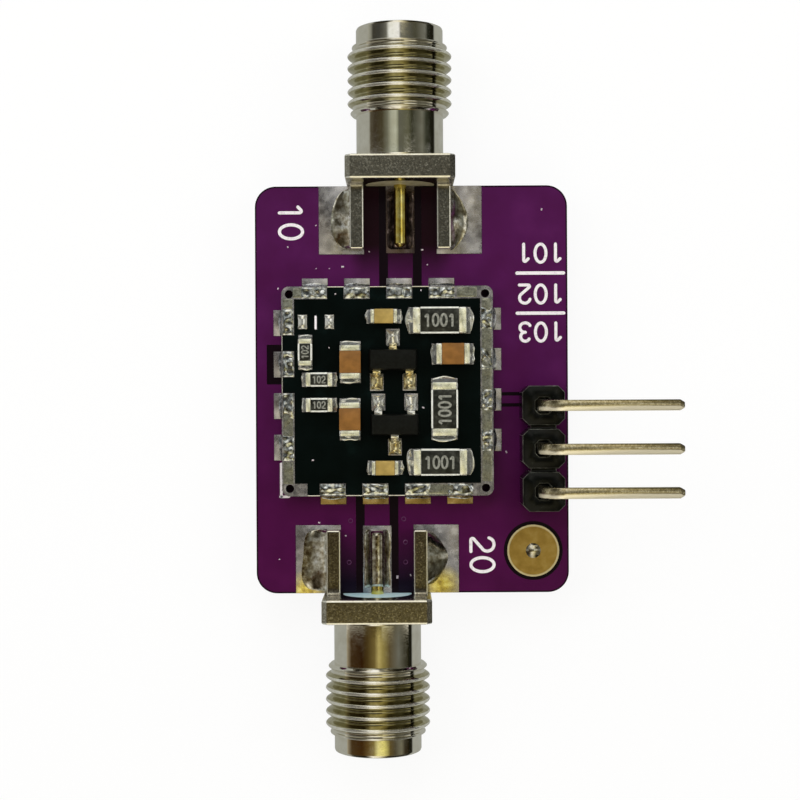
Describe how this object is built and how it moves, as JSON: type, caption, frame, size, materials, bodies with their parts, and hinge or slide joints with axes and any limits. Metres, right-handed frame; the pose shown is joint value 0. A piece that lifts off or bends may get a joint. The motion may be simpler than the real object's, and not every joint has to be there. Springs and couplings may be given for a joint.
{
  "type": "radio frequency attenuator module",
  "caption": "Voltage controlled radio frequency attenuator on a small carrier board, with an edge-launch coaxial jack at each end and a bent pin header.",
  "frame": {"origin": "on the surface the part rests on, under the middle of its bounding box", "axes": "+Y from the output jack to the input jack, +X towards the header's pin tips, +Z out of the board's component side"},
  "size_m": [0.0252, 0.0432, 0.0072],
  "materials": {
    "purple_mask": "glossy purple solder mask over glass-epoxy board",
    "black_mask": "glossy black solder mask",
    "tinned_copper": "dull tinned copper",
    "gilt_copper": "satin gold-flashed copper",
    "solder": "bright flowed solder",
    "nickel_plate": "satin nickel plate on brass",
    "white_fluoropolymer": "waxy white",
    "gilt_contact": "polished gold plate",
    "black_nylon": "moulded black nylon",
    "gilt_pin": "worn gold flash",
    "white_alumina": "fired white alumina",
    "dark_overcoat": "dark printed overcoat",
    "tinned_end": "tin-plated chip end",
    "brown_ceramic": "fired brown ceramic",
    "tan_ceramic": "fired tan ceramic",
    "black_epoxy": "moulded black epoxy",
    "tinned_lead": "tin-plated lead frame"
  },
  "bodies": {
    "root": {"carrier_board": "purple_mask", "ground_lands": "tinned_copper", "signal_lands": "tinned_copper", "module_lands": "tinned_copper", "header_lands": "tinned_copper", "round_pad": "gilt_copper", "round_pad_solder": "solder", "input_jack_shell": "nickel_plate", "input_jack_insulator": "white_fluoropolymer", "input_jack_contact": "gilt_contact", "input_jack_solder": "solder", "output_jack_shell": "nickel_plate", "output_jack_insulator": "white_fluoropolymer", "output_jack_contact": "gilt_contact", "output_jack_solder": "solder", "header_housing": "black_nylon", "header_pin_1": "gilt_pin", "header_pin_2": "gilt_pin", "header_pin_3": "gilt_pin", "header_solder": "solder", "module_board": "black_mask", "module_edge_plating": "tinned_copper", "module_rim_track": "tinned_copper", "module_solder": "solder", "chip_lands": "tinned_copper", "chip_solder": "solder", "upper_load_resistor": "white_alumina", "right_load_resistor": "white_alumina", "lower_load_resistor": "white_alumina", "load_resistor_ends": "tinned_end", "upper_bias_resistor": "white_alumina", "middle_bias_resistor": "white_alumina", "lower_bias_resistor": "white_alumina", "bias_resistor_ends": "tinned_end", "resistor_coats": "dark_overcoat", "upper_bypass_capacitor": "brown_ceramic", "lower_bypass_capacitor": "brown_ceramic", "right_bypass_capacitor": "brown_ceramic", "bypass_capacitor_ends": "tinned_end", "upper_coupling_capacitor": "tan_ceramic", "lower_coupling_capacitor": "tan_ceramic", "coupling_capacitor_ends": "tinned_end", "upper_diode_body": "black_epoxy", "upper_diode_leads": "tinned_lead", "lower_diode_body": "black_epoxy", "lower_diode_leads": "tinned_lead"}
  },
  "joints": []
}
